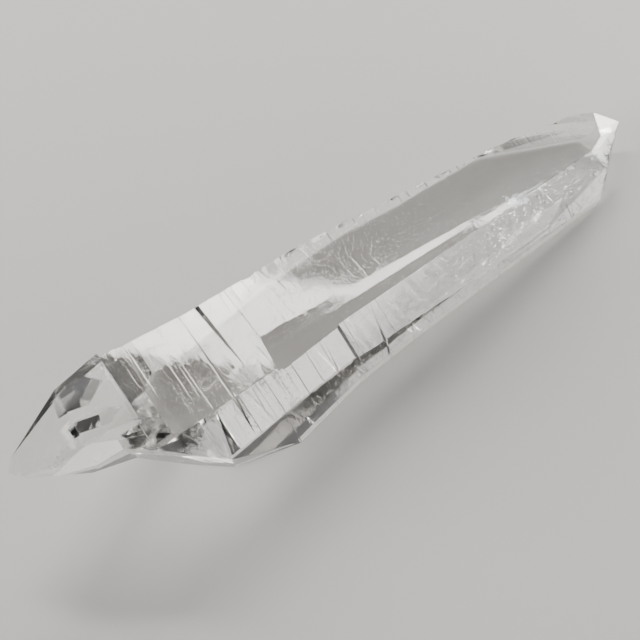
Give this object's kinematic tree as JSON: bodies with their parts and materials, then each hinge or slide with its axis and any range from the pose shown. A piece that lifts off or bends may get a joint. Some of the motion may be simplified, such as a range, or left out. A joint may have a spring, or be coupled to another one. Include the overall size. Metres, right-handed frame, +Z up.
{
  "type": "lemurian quartz point",
  "caption": "Clear six-sided quartz point with ladder ledges across its prism faces, a long slanted point and a second growth at the root end, lying on its side.",
  "frame": {"origin": "centre of the bounding box in X and Y, on the ground under the stone", "axes": "+X towards the point, close to the crystal's long axis; +Z up; the stone lies on its lower prism face"},
  "size_m": [0.0932, 0.0278, 0.0164],
  "materials": {
    "clear_quartz": "clear rock crystal, glassy, refractive index 1.544, faintly warm"
  },
  "bodies": {
    "root": {"quartz_point": "clear_quartz"}
  },
  "joints": []
}
